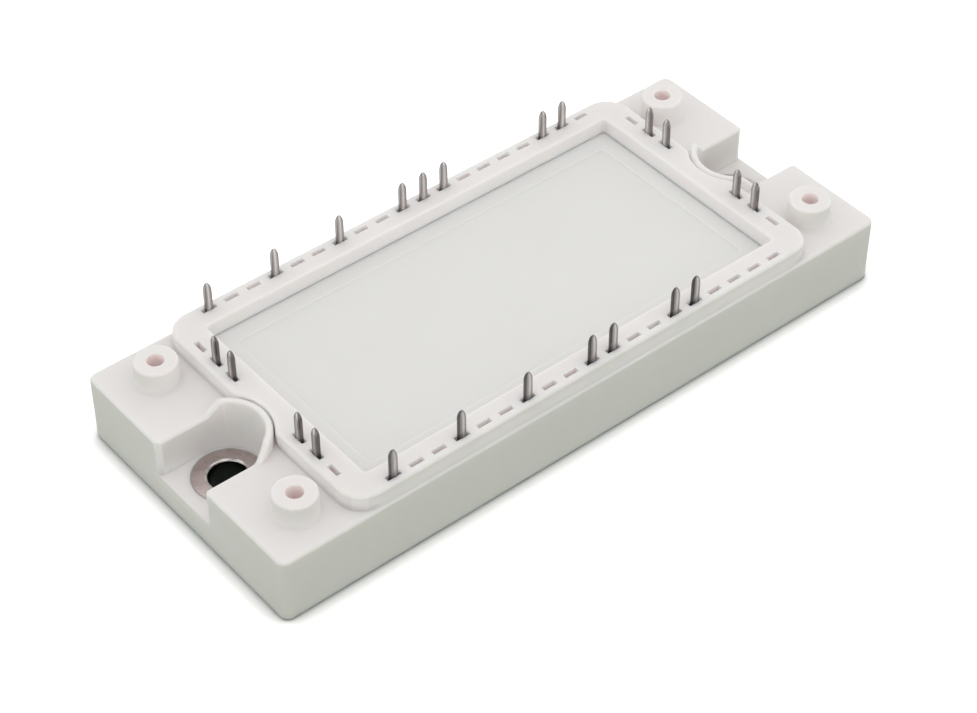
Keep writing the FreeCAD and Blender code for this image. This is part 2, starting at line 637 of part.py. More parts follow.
def bond_wires():
    """Every wire as one group: pins to copper, and chips to their neighbours towards -Y."""
    transistors, diodes, rectifiers = chip_places()
    step_down = ISLAND_DEPTH / 2 + TRACK_GAP
    strands = [pin_wire(*place) for place in pin_places()]
    for (x, y), (_, diode_y) in zip(transistors[:-1], diodes[:-1]):
        row_y = min(row_centres(), key=lambda centre: abs(centre - y))
        landing = y - (row_y - step_down) + WIRE_FROM_EDGE
        strands.append(wire(x, y, 180, [(0, CHIP_TOP_Z), (y - diode_y, CHIP_TOP_Z), (landing, CHIP_Z)]))
    for x, y in rectifiers + [transistors[-1], diodes[-1]]:
        strands.append(wire(x, y, 180, [(0, CHIP_TOP_Z), (step_down + WIRE_FROM_EDGE, CHIP_Z)]))
    return Part.Compound(strands)


def silicone_gel(buried):
    """Gel that fills the hollow round everything that is buried in it."""
    lower = rounded_slab(LOWER_LENGTH, LOWER_WIDTH, PLATE_TOP_Z, SHELF_Z, HOLLOW_CORNER_R)
    upper = rounded_slab(UPPER_LENGTH, UPPER_WIDTH, SHELF_Z, GEL_Z, HOLLOW_CORNER_R)
    return lower.fuse(upper).cut(buried)


def build():
    """Every node by name."""
    nodes = {"housing": housing(), "lid": lid(), "base_plate": base_plate(),
             "housing_seal": seal_ring(PLATE_TOP_Z, PLATE_TOP_Z + SEAL_HEIGHT)}
    for number, side in enumerate((-1, 1), 1):
        nodes[f"screw_bush_{number}"] = screw_bush(side)
    buried = {}
    for number, (x, y, turn, foot) in enumerate(pin_places(), 1):
        buried[f"terminal_pin_{number:02d}"] = put(terminal_pin(foot), x, y, turn)
    for number, (side, columns) in enumerate(((-1, RECTIFIER_COLUMNS), (1, INVERTER_COLUMNS)), 1):
        x = side * SUBSTRATE_X
        buried[f"substrate_solder_{number}"] = slab(x, 0, COPPER_LENGTH, COPPER_WIDTH,
                                                    PLATE_TOP_Z, BACKING_Z)
        buried[f"substrate_backing_{number}"] = slab(x, 0, COPPER_LENGTH, COPPER_WIDTH,
                                                     BACKING_Z, CERAMIC_Z)
        buried[f"substrate_ceramic_{number}"] = slab(x, 0, SUBSTRATE_LENGTH, SUBSTRATE_WIDTH,
                                                     CERAMIC_Z, TRACK_Z)
        buried[f"substrate_tracks_{number}"] = substrate_tracks(x, columns)
    transistors, diodes, rectifiers = chip_places()
    for number, (x, y) in enumerate(transistors, 1):
        buried[f"igbt_chip_{number}"] = slab(x, y, IGBT_SIZE, IGBT_SIZE, CHIP_Z, CHIP_TOP_Z)
    for number, (x, y) in enumerate(diodes, 1):
        buried[f"freewheel_diode_{number}"] = slab(x, y, IGBT_SIZE, FREEWHEEL_DEPTH, CHIP_Z, CHIP_TOP_Z)
    for number, (x, y) in enumerate(rectifiers, 1):
        buried[f"rectifier_diode_{number}"] = slab(x, y, RECTIFIER_SIZE, RECTIFIER_SIZE,
                                                   CHIP_Z, CHIP_TOP_Z)
    buried["thermistor"] = thermistor()
    buried["bond_wires"] = bond_wires()
    nodes["silicone_gel"] = silicone_gel(list(buried.values()))
    nodes.update(buried)
    return nodes


os.makedirs("parts", exist_ok=True)
for name, shape in build().items():
    shape.exportStep(f"parts/{name}.step")
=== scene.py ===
import math

import bpy
from mathutils import Matrix, Vector


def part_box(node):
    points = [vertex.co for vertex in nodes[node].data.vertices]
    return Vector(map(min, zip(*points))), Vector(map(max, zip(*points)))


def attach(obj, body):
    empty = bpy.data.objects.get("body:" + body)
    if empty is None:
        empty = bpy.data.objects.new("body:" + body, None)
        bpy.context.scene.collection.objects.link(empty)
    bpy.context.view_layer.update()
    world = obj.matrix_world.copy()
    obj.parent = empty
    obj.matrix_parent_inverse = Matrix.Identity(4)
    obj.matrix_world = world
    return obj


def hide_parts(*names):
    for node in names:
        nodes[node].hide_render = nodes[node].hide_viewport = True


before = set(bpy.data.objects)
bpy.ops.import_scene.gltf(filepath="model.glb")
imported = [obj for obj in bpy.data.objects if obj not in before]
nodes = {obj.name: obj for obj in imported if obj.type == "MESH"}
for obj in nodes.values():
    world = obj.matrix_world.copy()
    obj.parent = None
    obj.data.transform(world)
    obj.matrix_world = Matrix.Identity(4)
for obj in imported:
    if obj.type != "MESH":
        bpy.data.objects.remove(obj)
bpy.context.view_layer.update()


# Base plate: a stamped sheet of copper with satin nickel plating. It carries the
# substrates on its top, and its underside meets the heat sink. The rolled grain
# runs along its length, and storage leaves faint broad stains.
PLATE_GRAIN_STRETCH = (0.06, 1.0, 1.0)
NICKEL_LIGHT = (0.60, 0.585, 0.55, 1.0)
NICKEL_DARK = (0.50, 0.48, 0.44, 1.0)
# Painted shade for the inside of the screw bores.
BORE_PAINTED_SHADE = (0.035, 0.042, 0.035, 1.0)
BORE_R = 0.00275
BORE_SKIN = 0.00004
FINE_DETAIL = 3.0
BROAD_DETAIL = 5.0
NOISE_ROUGHNESS = 0.6
NOISE_LOW = 0.3
NOISE_HIGH = 0.7

bush_low, bush_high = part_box("screw_bush_2")
HOLE_X = (bush_low.x + bush_high.x) / 2


def new_material(name):
    """Node material, its tree, its shader and the coordinates of the piece that wears it."""
    material = bpy.data.materials.new(name)
    material.use_nodes = True
    tree = material.node_tree
    place = tree.nodes.new("ShaderNodeTexCoord")
    return material, tree, tree.nodes["Principled BSDF"], place.outputs["Object"]


def surface_noise_group():
    """Two noises from one place: Fine for grain and bump, Broad for stains and mottling."""
    group = bpy.data.node_groups.new("surface_noise", "ShaderNodeTree")
    for name, kind in (("Place", "NodeSocketVector"), ("Fine Scale", "NodeSocketFloat"),
                       ("Broad Scale", "NodeSocketFloat")):
        group.interface.new_socket(name, in_out="INPUT", socket_type=kind)
    inward = group.nodes.new("NodeGroupInput")
    outward = group.nodes.new("NodeGroupOutput")
    noises = (("Fine", "Fine Scale", FINE_DETAIL), ("Broad", "Broad Scale", BROAD_DETAIL))
    for name, scale, detail in noises:
        group.interface.new_socket(name, in_out="OUTPUT", socket_type="NodeSocketFloat")
        noise = group.nodes.new("ShaderNodeTexNoise")
        noise.inputs["Detail"].default_value = detail
        noise.inputs["Roughness"].default_value = NOISE_ROUGHNESS
        group.links.new(inward.outputs["Place"], noise.inputs["Vector"])
        group.links.new(inward.outputs[scale], noise.inputs["Scale"])
        group.links.new(noise.outputs["Fac"], outward.inputs[name])
    return group


surface_noise = surface_noise_group()


def add_noise(tree, place, fine_scale, broad_scale, stretch=(1.0, 1.0, 1.0)):
    """The surface noise in one material, stretched along the grain of the piece."""
    mapping = tree.nodes.new("ShaderNodeMapping")
    mapping.inputs["Scale"].default_value = stretch
    noise = tree.nodes.new("ShaderNodeGroup")
    noise.node_tree = surface_noise
    noise.inputs["Fine Scale"].default_value = fine_scale
    noise.inputs["Broad Scale"].default_value = broad_scale
    tree.links.new(place, mapping.inputs["Vector"])
    tree.links.new(mapping.outputs["Vector"], noise.inputs["Place"])
    return noise.outputs["Fine"], noise.outputs["Broad"]


def blend_colours(tree, mask, colour_low, colour_high, low=NOISE_LOW, high=NOISE_HIGH):
    """Colour that goes from one to the other as the mask goes from low to high."""
    ramp = tree.nodes.new("ShaderNodeValToRGB")
    ramp.color_ramp.elements[0].position = low
    ramp.color_ramp.elements[0].color = colour_low
    ramp.color_ramp.elements[1].position = high
    ramp.color_ramp.elements[1].color = colour_high
    tree.links.new(mask, ramp.inputs["Fac"])
    return ramp.outputs["Color"]


def spread(tree, mask, low, high):
    """Number that goes from low to high with the noise."""
    mapped = tree.nodes.new("ShaderNodeMapRange")
    mapped.inputs["From Min"].default_value = NOISE_LOW
    mapped.inputs["From Max"].default_value = NOISE_HIGH
    mapped.inputs["To Min"].default_value = low
    mapped.inputs["To Max"].default_value = high
    tree.links.new(mask, mapped.inputs["Value"])
    return mapped.outputs["Result"]


def add_bump(tree, shader, height, depth):
    """Relief of that depth in metres on the shader."""
    bump = tree.nodes.new("ShaderNodeBump")
    bump.inputs["Distance"].default_value = depth
    tree.links.new(height, bump.inputs["Height"])
    tree.links.new(bump.outputs["Normal"], shader.inputs["Normal"])


def grained_finish(name, light, dark, roughness, metallic, fine_scale, broad_scale, depth,
                   stretch=(1.0, 1.0, 1.0)):
    """Finish with a fine grain in its relief and a broad mottle in its colour and gloss."""
    material, tree, shader, place = new_material(name)
    fine, broad = add_noise(tree, place, fine_scale, broad_scale, stretch)
    tree.links.new(blend_colours(tree, broad, dark, light), shader.inputs["Base Color"])
    tree.links.new(spread(tree, broad, *roughness), shader.inputs["Roughness"])
    shader.inputs["Metallic"].default_value = metallic
    add_bump(tree, shader, fine, depth)
    return material


def wear(material, *names):
    """The CAD solids that keep their own shape get this finish."""
    for name in names:
        mesh = nodes[name].data
        mesh.materials.clear()
        mesh.materials.append(material)


def screw_bore_group():
    """Mask of the two screw bores: 1 on every surface within the bore's radius of its axis."""
    group = bpy.data.node_groups.new("screw_bore", "ShaderNodeTree")
    group.interface.new_socket("Place", in_out="INPUT", socket_type="NodeSocketVector")
    group.interface.new_socket("Mask", in_out="OUTPUT", socket_type="NodeSocketFloat")
    inward = group.nodes.new("NodeGroupInput")
    outward = group.nodes.new("NodeGroupOutput")
    parts = group.nodes.new("ShaderNodeSeparateXYZ")
    mirrored = group.nodes.new("ShaderNodeMath")
    mirrored.operation = "ABSOLUTE"
    shifted = group.nodes.new("ShaderNodeMath")
    shifted.operation = "SUBTRACT"
    shifted.inputs[1].default_value = HOLE_X
    flat = group.nodes.new("ShaderNodeCombineXYZ")
    radius = group.nodes.new("ShaderNodeVectorMath")
    radius.operation = "LENGTH"
    inside = group.nodes.new("ShaderNodeMath")
    inside.operation = "LESS_THAN"
    inside.inputs[1].default_value = BORE_R + BORE_SKIN
    group.links.new(inward.outputs["Place"], parts.inputs["Vector"])
    group.links.new(parts.outputs["X"], mirrored.inputs[0])
    group.links.new(mirrored.outputs["Value"], shifted.inputs[0])
    group.links.new(shifted.outputs["Value"], flat.inputs["X"])
    group.links.new(parts.outputs["Y"], flat.inputs["Y"])
    group.links.new(flat.outputs["Vector"], radius.inputs[0])
    group.links.new(radius.outputs["Value"], inside.inputs[0])
    group.links.new(inside.outputs["Value"], outward.inputs["Mask"])
    return group


screw_bore = screw_bore_group()


def paint_bore_shade(material):
    """Painted shade: the bores are coloured near-black, as the inside of a hole lies in shade."""
    tree = material.node_tree
    shader = tree.nodes["Principled BSDF"]
    place = tree.nodes["Texture Coordinate"].outputs["Object"]
    bore = tree.nodes.new("ShaderNodeGroup")
    bore.node_tree = screw_bore
    mix = tree.nodes.new("ShaderNodeMix")
    mix.data_type = "RGBA"
    mix.inputs["B"].default_value = BORE_PAINTED_SHADE
    face_colour = shader.inputs["Base Color"].links[0].from_socket
    tree.links.new(place, bore.inputs["Place"])
    tree.links.new(bore.outputs["Mask"], mix.inputs["Factor"])
    tree.links.new(face_colour, mix.inputs["A"])
    tree.links.new(mix.outputs["Result"], shader.inputs["Base Color"])


nickel = grained_finish("satin_nickel", NICKEL_LIGHT, NICKEL_DARK, roughness=(0.34, 0.24),
                        metallic=1.0, fine_scale=9000.0, broad_scale=70.0, depth=0.000004,
                        stretch=PLATE_GRAIN_STRETCH)
# The plate's screw bores carry painted shade.
paint_bore_shade(nickel)
wear(nickel, "base_plate")


# Substrates: a ceramic plate with copper on both faces, soldered to the base plate. The
# copper is etched into islands on its top.
SOLDER_LIGHT = (0.50, 0.50, 0.51, 1.0)
SOLDER_DARK = (0.38, 0.38, 0.40, 1.0)
COPPER_LIGHT = (0.80, 0.43, 0.30, 1.0)
COPPER_DARK = (0.66, 0.33, 0.22, 1.0)
ALUMINA_LIGHT = (0.86, 0.86, 0.83, 1.0)
ALUMINA_DARK = (0.80, 0.80, 0.77, 1.0)

solder = grained_finish("dull_solder", SOLDER_LIGHT, SOLDER_DARK, roughness=(0.45, 0.6), metallic=1.0,
                        fine_scale=2500.0, broad_scale=400.0, depth=0.00001)
copper = grained_finish("etched_copper", COPPER_LIGHT, COPPER_DARK, roughness=(0.35, 0.5), metallic=1.0,
                        fine_scale=4000.0, broad_scale=300.0, depth=0.000006)
ceramic = grained_finish("white_alumina", ALUMINA_LIGHT, ALUMINA_DARK, roughness=(0.4, 0.5), metallic=0.0,
                         fine_scale=5000.0, broad_scale=250.0, depth=0.000005)
for side in ("1", "2"):
    wear(solder, "substrate_solder_" + side)
    wear(copper, "substrate_backing_" + side, "substrate_tracks_" + side)
    wear(ceramic, "substrate_ceramic_" + side)


# Chips and thermistor: sawn silicon with a metallised top, soldered to the copper islands,
# and one dark ceramic block with tinned ends.
SILICON_LIGHT = (0.62, 0.62, 0.64, 1.0)
SILICON_DARK = (0.50, 0.50, 0.53, 1.0)
THERMISTOR_LIGHT = (0.10, 0.10, 0.11, 1.0)
THERMISTOR_DARK = (0.05, 0.05, 0.06, 1.0)

chip_metal = grained_finish("metallised_silicon", SILICON_LIGHT, SILICON_DARK, roughness=(0.28, 0.4),
                            metallic=1.0, fine_scale=6000.0, broad_scale=900.0, depth=0.000002)
dark_ceramic = grained_finish("thermistor_ceramic", THERMISTOR_LIGHT, THERMISTOR_DARK,
                              roughness=(0.45, 0.6), metallic=0.0, fine_scale=5000.0, broad_scale=900.0,
                              depth=0.000004)
wear(chip_metal, *[name for name in nodes if "_chip_" in name or "_diode_" in name])
wear(dark_ceramic, "thermistor")


# Bond wires: drawn aluminium, welded by ultrasound to the chips, the islands and the feet
# of the pins.
WIRE_LIGHT = (0.80, 0.80, 0.80, 1.0)
WIRE_DARK = (0.68, 0.68, 0.69, 1.0)

bond_aluminium = grained_finish("bond_aluminium", WIRE_LIGHT, WIRE_DARK, roughness=(0.25, 0.4),
                                metallic=1.0, fine_scale=7000.0, broad_scale=800.0, depth=0.000002)
wear(bond_aluminium, "bond_wires")


# Seal bead and gel: the grey adhesive that holds the housing on the base plate, and the
# soft clear filling over the substrates.
SEAL_LIGHT = (0.55, 0.55, 0.53, 1.0)
SEAL_DARK = (0.47, 0.47, 0.45, 1.0)
GEL_LIGHT = (0.83, 0.86, 0.87, 1.0)
GEL_DARK = (0.76, 0.80, 0.82, 1.0)
GEL_CLEARNESS = 0.8
GEL_IOR = 1.41

seal_rubber = grained_finish("silicone_seal", SEAL_LIGHT, SEAL_DARK, roughness=(0.5, 0.65), metallic=0.0,
                             fine_scale=2500.0, broad_scale=300.0, depth=0.00002)
gel_rubber = grained_finish("silicone_gel", GEL_LIGHT, GEL_DARK, roughness=(0.08, 0.14), metallic=0.0,
                            fine_scale=600.0, broad_scale=120.0, depth=0.00001)
gel_shader = gel_rubber.node_tree.nodes["Principled BSDF"]
gel_shader.inputs["Transmission Weight"].default_value = GEL_CLEARNESS
gel_shader.inputs["IOR"].default_value = GEL_IOR
wear(seal_rubber, "housing_seal")
wear(gel_rubber, "silicone_gel")


# Housing: off-white filled polyester, injection moulded in one piece with a fine matte
# texture and softly rounded edges. The plastic lets a little light through, and the terminal
# slots and the screw holes of the board posts carry a painted glow, a lighter and pinker colour.
PLASTIC_LIGHT = (0.835, 0.810, 0.803, 1.0)
PLASTIC_DARK = (0.810, 0.784, 0.776, 1.0)
# Painted glow: the slots and the screw holes are lighter and pinker than the plastic.
SLOT_LIGHT = (0.90, 0.865, 0.86, 1.0)
SLOT_DARK = (0.87, 0.83, 0.825, 1.0)
PILOT_LIGHT = (0.94, 0.85, 0.84, 1.0)
PILOT_DARK = (0.90, 0.81, 0.80, 1.0)
SCATTER_REACH = (1.0, 0.88, 0.84)
SCATTER_DEPTH = 0.0012
PLASTIC_IOR = 1.45
# How the solid's triangles are joined, and how near a point has to be to count as on a surface.
MERGE = 0.00007
SEAMS = (-HOLE_X, -0.001, HOLE_X)
FLAT_ANGLE = math.radians(0.5)
NEAR = 0.00002
# How wide the edges are rounded, and the share of that width for each kind of edge.
EDGE_ANGLE = math.radians(30.0)
EDGE_ROUND = 0.0002
FULL_SHARE = 1.0
EDGE_SHARE = 0.3
LONG_EDGE_SHARE = 0.4
RIM_SHARE = 0.25
POST_FILLET = 0.00045
# Heights of the moulding, and its posts.
LEDGE_Z = 0.009
FLANGE_Z = 0.011
FRAME_Z = 0.0136
POST_Z = 0.0146
POST_R = 0.00315
POST_Y = 0.016
POST_FOOT_BAND = 0.0001
PILOT_R = 0.00123
CHAMFER_DEPTH = 0.00035
OUTLINE_BAND = 0.0008
SKIN = 0.0005
# Mouth of a notch with the lips at its sides, the frame's end and foot, and a collar.
MOUTH_Y = 0.0075
MOUTH_R = 0.0057
LIP_LENGTH = 0.0009
LIP_Y = 0.0066
SILL_HEIGHT = 0.0003
FRAME_END_X = 0.0416
FRAME_FOOT_Y = 0.0224
COLLAR_TOP_Z = 0.01305
COLLAR_X = (0.0409, 0.0445)
COLLAR_Y = 0.0062
# Rows of terminal slots.
ROW_END_X = 0.0385
ROW_END_Y = 0.019
SLOT_MARGIN = 0.00045
SLOT_RIM = 0.00012
SLOT_DEPTH = 0.0016
SLOT_WIDTH = 0.0008
PIN_THICKNESS = 0.0007


def let_go():
    """Leave nothing selected."""
    for thing in bpy.context.selected_objects:
        thing.select_set(False)


def pick_up(piece):
    """Make this piece the only one that is selected, in edit mode with nothing picked in it."""
    let_go()
    piece.select_set(True)
    bpy.context.view_layer.objects.active = piece
    bpy.ops.object.mode_set(mode="EDIT")
    bpy.ops.mesh.select_all(action="DESELECT")


def pick(piece, kind, test):
    """Pick the edges, faces or vertices of a piece whose middle passes the test."""
    bpy.ops.mesh.select_mode(type={"edges": "EDGE", "polygons": "FACE", "vertices": "VERT"}[kind])
    bpy.ops.mesh.select_all(action="DESELECT")
    bpy.ops.object.mode_set(mode="OBJECT")
    mesh = piece.data
    for part in getattr(mesh, kind):
        if kind == "vertices":
            part.select = test(part.co)
        elif kind == "edges":
            first, second = (mesh.vertices[i].co for i in part.vertices)
            part.select = test((first + second) / 2)
        else:
            part.select = test(part.center)
    bpy.ops.object.mode_set(mode="EDIT")


def merged_copy(node, name):
    """Copy of a CAD solid as a new piece, its triangles joined into flat faces that end at the seams."""
    mesh = nodes[node].data.copy()
    mesh.name = name
    piece = bpy.data.objects.new(name, mesh)
    bpy.context.scene.collection.objects.link(piece)
    pick_up(piece)
    bpy.ops.mesh.customdata_custom_splitnormals_clear()
    bpy.ops.mesh.select_all(action="SELECT")
    bpy.ops.mesh.remove_doubles(threshold=MERGE)
    # A face that ran all round the frame would be cut into crossing triangles, so the seams part it.
    for seam in SEAMS:
        bpy.ops.mesh.select_all(action="SELECT")
        bpy.ops.mesh.bisect(plane_co=(seam, 0.0, 0.0), plane_no=(1.0, 0.0, 0.0))
    bpy.ops.object.mode_set(mode="OBJECT")
    for face in mesh.polygons:
        face.material_index = sum(face.center.x > seam for seam in SEAMS)
    bpy.ops.object.mode_set(mode="EDIT")
    bpy.ops.mesh.select_all(action="SELECT")
    bpy.ops.mesh.dissolve_limited(angle_limit=FLAT_ANGLE, delimit={"MATERIAL"})
    return piece


def weigh_edges(piece, test, share):
    """Add to the rounding share of the edges whose middle passes the test."""
    pick(piece, "edges", test)
    bpy.ops.transform.edge_bevelweight(value=share)


def weigh_sharp_edges(share):
    """Add to the rounding share of every sharp edge."""
    bpy.ops.mesh.select_mode(type="EDGE")
    bpy.ops.mesh.select_all(action="DESELECT")
    bpy.ops.mesh.edges_select_sharp(sharpness=EDGE_ANGLE)
    bpy.ops.transform.edge_bevelweight(value=share)


def round_edges(piece, width, segments=2):
    """Round the sharp edges by their share, and let the flat faces stay flat in the shading."""
    bpy.ops.mesh.select_all(action="DESELECT")
    bpy.ops.mesh.edges_select_sharp(sharpness=EDGE_ANGLE)
    bpy.ops.mesh.select_all(action="INVERT")
    bpy.ops.transform.edge_bevelweight(value=-FULL_SHARE)
    bpy.ops.object.mode_set(mode="OBJECT")
    bpy.ops.object.shade_smooth()
    bevel = piece.modifiers.new("edges", "BEVEL")
    bevel.width = width
    bevel.segments = segments
    bevel.limit_method = "WEIGHT"
    bevel.use_clamp_overlap = False
    bpy.ops.object.modifier_apply(modifier=bevel.name)
    weighted = piece.modifiers.new("faces", "WEIGHTED_NORMAL")
    weighted.mode = "FACE_AREA"
    bpy.ops.object.modifier_apply(modifier=weighted.name)


def hand_over(piece, slot, *replaced):
    """The finished piece moves with the module and stands for its CAD solids, which are hidden."""
    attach(piece, "root")
    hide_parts(*replaced)


def moulded_plastic(name, light, dark):
    """Matte moulded finish that scatters some of the light under its surface."""
    material = grained_finish(name, light, dark, roughness=(0.50, 0.58), metallic=0.0,
                              fine_scale=3200.0, broad_scale=45.0, depth=0.000006)
    shader = material.node_tree.nodes["Principled BSDF"]
    shader.inputs["Subsurface Weight"].default_value = 1.0
    shader.inputs["Subsurface Radius"].default_value = SCATTER_REACH
    shader.inputs["Subsurface Scale"].default_value = SCATTER_DEPTH
    shader.inputs["IOR"].default_value = PLASTIC_IOR
    return material


def dress(piece, *finishes):
    """Give a finished piece its materials, with the first of them on every face."""
    piece.data.materials.clear()
    for finish in finishes:
        piece.data.materials.append(finish)
    for face in piece.data.polygons:
        face.material_index = 0


def from_post(point):
    """Distance from the axis of the nearest board post."""
    return math.hypot(abs(point.x) - HOLE_X, abs(point.y) - POST_Y)


housing_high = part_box("housing")[1]
lid_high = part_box("lid")[1]
pin_low, pin_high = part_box("terminal_pin_01")
end_pin_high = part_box("terminal_pin_08")[1]
SIDE_ROW_Y = -pin_low.y - PIN_THICKNESS / 2
END_ROW_X = end_pin_high.x - PIN_THICKNESS / 2


def over_the_lid(point, margin):
    """Whether a point is over the lid or within the margin of its outline."""
    return abs(point.x) < lid_high.x + margin and abs(point.y) < lid_high.y + margin


def beside_a_slot(point):
    """Whether a point is in one of the four rows of terminal slots."""
    side = abs(abs(point.y) - SIDE_ROW_Y) < SLOT_MARGIN and abs(point.x) < ROW_END_X
    end = abs(abs(point.x) - END_ROW_X) < SLOT_MARGIN and abs(point.y) < ROW_END_Y
    return side or end


def on_a_long_edge(point):
    """Outline of the flanges and of the frame's top, where the moulding is rounded most."""
    if FLANGE_Z - CHAMFER_DEPTH < point.z < FLANGE_Z + NEAR:
        beside_frame = abs(point.x) < FRAME_END_X and point.z > FLANGE_Z - NEAR
        on_side = abs(point.y) > housing_high.y - OUTLINE_BAND
        on_end = abs(point.x) > housing_high.x - OUTLINE_BAND and abs(point.y) > MOUTH_Y
        found = not beside_frame and (on_side or on_end)
    elif FRAME_Z - CHAMFER_DEPTH < point.z < FRAME_Z + NEAR:
        crowded = beside_a_slot(point) or over_the_lid(point, SLOT_MARGIN)
        found = abs(point.x) < FRAME_END_X and not crowded
    else:
        found = False
    return found


def on_a_thin_rim(point):
    """The narrow chamfers round the tops of the posts and round the lid's recess."""
    round_recess = FRAME_Z - CHAMFER_DEPTH < point.z < FRAME_Z + NEAR and over_the_lid(point, CHAMFER_DEPTH)
    return point.z > FRAME_Z + NEAR or round_recess


def left_sharp(point):
    """Edges that nobody sees, and those with no room for a rounding beside them."""
    foot = abs(point.z - FLANGE_Z) < NEAR and abs(point.x) < FRAME_END_X and abs(point.y) < FRAME_FOOT_Y
    over_collar = COLLAR_X[0] < abs(point.x) < COLLAR_X[1] and abs(point.y) < COLLAR_Y
    collar_top = over_collar and point.z > COLLAR_TOP_Z
    lip = abs(point.x) > housing_high.x - LIP_LENGTH and abs(point.y) < LIP_Y
    inside = abs(point.y) < housing_high.y - SKIN and abs(point.x) < housing_high.x - SKIN
    hidden = inside and point.z < LEDGE_Z
    past_hole = max(HOLE_X - abs(point.x), 0.0)
    in_notch = point.z > bush_high.z - SILL_HEIGHT and math.hypot(past_hole, point.y) < MOUTH_R
    return foot or collar_top or lip or (hidden and not in_notch)


shell = merged_copy("housing", "housing_shell")
pick(shell, "edges", lambda p: abs(p.z - FLANGE_Z) < NEAR and abs(from_post(p) - POST_R) < POST_FOOT_BAND)
bpy.ops.mesh.bevel(offset=POST_FILLET, segments=4, affect="EDGES")
weigh_sharp_edges(EDGE_SHARE)
weigh_edges(shell, on_a_long_edge, LONG_EDGE_SHARE)
weigh_edges(shell, on_a_thin_rim, RIM_SHARE)
weigh_edges(shell, left_sharp, -FULL_SHARE)
round_edges(shell, EDGE_ROUND)

dress(shell, moulded_plastic("housing_plastic", PLASTIC_LIGHT, PLASTIC_DARK),
      moulded_plastic("slot_painted_glow", SLOT_LIGHT, SLOT_DARK),
      moulded_plastic("pilot_hole_painted_glow", PILOT_LIGHT, PILOT_DARK))


def painted_glow_kind(middle):
    """Which plastic a face shows: 1 in a terminal slot and 2 in the screw hole of a post, both with painted
    glow, 0 elsewhere.
    """
    if from_post(middle) < PILOT_R + NEAR and middle.z < POST_Z - SLOT_RIM:
        kind = 2
    elif not FRAME_Z - SLOT_DEPTH - NEAR < middle.z < FRAME_Z - SLOT_RIM:
        kind = 0
    elif (abs(abs(middle.y) - SIDE_ROW_Y) < SLOT_WIDTH / 2 + NEAR
          or abs(abs(middle.x) - END_ROW_X) < SLOT_WIDTH / 2 + NEAR):
        kind = 1
    else:
        kind = 0
    return kind


for face in shell.data.polygons:
    face.material_index = painted_glow_kind(face.center)
hand_over(shell, "housing_plastic", "housing")


# Lid: a flat moulded plate of the same plastic, glued into the recess of the frame. The
# glue fills its joint flush, so the plate here reaches the walls. Its middle is sunk by a
# hair, which leaves one faint line all round.
LID_LIGHT = (0.803, 0.797, 0.786, 1.0)
LID_DARK = (0.785, 0.778, 0.766, 1.0)
LID_JOINT = 0.000045
LID_BORDER = 0.002
LID_EDGE_ROUND = 0.00006

lid = merged_copy("lid", "recess_lid")
bpy.ops.mesh.select_all(action="SELECT")
bpy.ops.transform.resize(value=(1 + LID_JOINT / lid_high.x, 1 + LID_JOINT / lid_high.y, 1.0),
                         center_override=(0.0, 0.0, 0.0))
weigh_sharp_edges(FULL_SHARE)
weigh_edges(lid, lambda p: not over_the_lid(p, -LID_BORDER), -FULL_SHARE)
round_edges(lid, LID_EDGE_ROUND)
dress(lid, moulded_plastic("lid_plastic", LID_LIGHT, LID_DARK))
hand_over(lid, "lid_plastic", "lid")


# Screw bushes: steel rings turned on a lathe and set in the floors of the notches, where
# they carry the screw's load to the base plate. Each has a rounded, polished lead-in with
# painted glints: patches of near-white broken by darker ones.
BUSH_R = (bush_high.x - bush_low.x) / 2
BUSH_LEAD_IN = 0.0004
BUSH_EDGE = 0.00015
BUSH_LIGHT = (0.60, 0.52, 0.505, 1.0)
BUSH_DARK = (0.47, 0.395, 0.385, 1.0)
# Painted glints on the lead-in: near-white patches broken by dark ones.
LEAD_IN_GLINT = (0.97, 0.96, 0.95, 1.0)
LEAD_IN_DARK = (0.30, 0.25, 0.24, 1.0)
LATHE_STEPS = 96


def turned_ring(name, x_mid):
    """Section of the ring drawn as a plane, its corners rounded, then spun about the hole's axis."""
    let_go()
    middle = (x_mid + (BORE_R + BUSH_R) / 2, 0.0, (bush_low.z + bush_high.z) / 2)
    bpy.ops.mesh.primitive_plane_add(size=1.0, location=middle, rotation=(math.pi / 2, 0.0, 0.0))
    ring = bpy.context.object
    ring.name = name
    ring.scale = (BUSH_R - BORE_R, bush_high.z - bush_low.z, 1.0)
    bpy.ops.object.transform_apply(location=True, rotation=True, scale=True)
    pick_up(ring)
    pick(ring, "vertices", lambda p: p.z > middle[2] and p.x < middle[0])
    bpy.ops.mesh.bevel(offset=BUSH_LEAD_IN, segments=5, affect="VERTICES")
    pick(ring, "vertices", lambda p: p.z > middle[2] and p.x > x_mid + BUSH_R - NEAR)
    bpy.ops.mesh.bevel(offset=BUSH_EDGE, segments=3, affect="VERTICES")
    bpy.ops.mesh.select_all(action="SELECT")
    bpy.ops.mesh.delete(type="ONLY_FACE")
    bpy.ops.mesh.select_mode(type="EDGE")
    bpy.ops.mesh.select_all(action="SELECT")
    bpy.ops.mesh.spin(steps=LATHE_STEPS, angle=2 * math.pi, center=(x_mid, 0.0, 0.0), axis=(0.0, 0.0, 1.0))
    bpy.ops.mesh.select_all(action="SELECT")
    bpy.ops.mesh.remove_doubles(threshold=MERGE)
    bpy.ops.mesh.normals_make_consistent(inside=False)
    bpy.ops.object.mode_set(mode="OBJECT")
    bpy.ops.object.shade_smooth_by_angle(angle=EDGE_ANGLE)
    return ring


